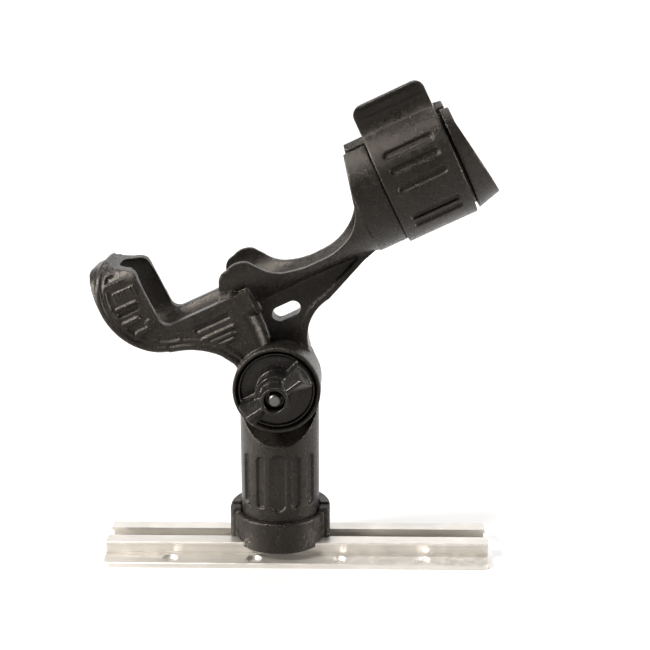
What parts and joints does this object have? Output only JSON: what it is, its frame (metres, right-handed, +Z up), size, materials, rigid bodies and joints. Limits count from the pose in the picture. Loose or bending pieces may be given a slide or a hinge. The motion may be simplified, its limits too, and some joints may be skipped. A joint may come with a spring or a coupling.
{
  "type": "fishing rod holder",
  "caption": "Tilting and swivelling fishing rod cradle with a rotating locking ring and wing knob, on a post in a collar that slides along a slotted track.",
  "frame": {"origin": "centre of the track's bottom face", "axes": "+Z up, away from the surface the track is screwed to; +X along the track, towards the side the rod tip points to; the wing knob faces -Y"},
  "size_m": [0.2057, 0.0803, 0.251],
  "materials": {
    "track_aluminium": "clear anodised, extruded, satin",
    "nylon": "moulded glass-filled nylon, black, fine pebble texture",
    "nylon_ring": "moulded glass-filled nylon, black, pebble texture between raised bands",
    "nylon_knob": "moulded nylon, black, satin",
    "stainless": "stainless steel, turned",
    "brass": "turned brass",
    "acetal": "turned acetal, off-white",
    "rubber": "nitrile rubber, black"
  },
  "bodies": {
    "track": {"track": "track_aluminium"},
    "mount": {"mount_base": "nylon", "mount_cap": "nylon", "slide_nut": "stainless", "base_screws": "stainless", "base_washers": "stainless", "collar_screws": "stainless", "collar_washers": "stainless", "collar_inserts": "brass"},
    "post": {"post": "nylon", "thrust_washer": "acetal", "swivel_o_ring": "rubber", "tilt_bolt": "stainless", "hub_spring": "stainless"},
    "cradle": {"cradle": "nylon", "hub_bush": "acetal"},
    "locking_ring": {"locking_ring": "nylon_ring"},
    "knob_carrier": {"knob_washer": "stainless"},
    "knob": {"wing_knob": "nylon_knob", "knob_insert": "brass"}
  },
  "joints": [
    {"name": "mount_slide", "type": "slide", "parent": "track", "child": "mount", "axis": [1, 0, 0], "range_m": [-0.065, 0.085]},
    {"name": "post_swivel", "type": "hinge", "parent": "mount", "child": "post", "pos_m": [-0.009, 0, 0.0144], "axis": [0, 0, 1], "continuous": true},
    {"name": "cradle_tilt", "type": "hinge", "parent": "post", "child": "cradle", "pos_m": [-0.009, 0, 0.098], "axis": [0, -1, 0], "range_deg": [-45, 35]},
    {"name": "ring_turn", "type": "hinge", "parent": "cradle", "child": "locking_ring", "pos_m": [0.05978, 0, 0.20841], "axis": [-0.9063, 0, -0.4226], "range_deg": [0, 100]},
    {"name": "knob_travel", "type": "slide", "parent": "post", "child": "knob_carrier", "axis": [0, -1, 0], "range_m": [0, 0.00255]},
    {"name": "knob_turn", "type": "hinge", "parent": "knob_carrier", "child": "knob", "pos_m": [-0.009, 0, 0.098], "axis": [0, -1, 0], "range_deg": [0, 720]}
  ],
  "couplings": [
    {"joint": "knob_travel", "follows": "knob_turn", "m_per_rad": 0.00020213}
  ]
}
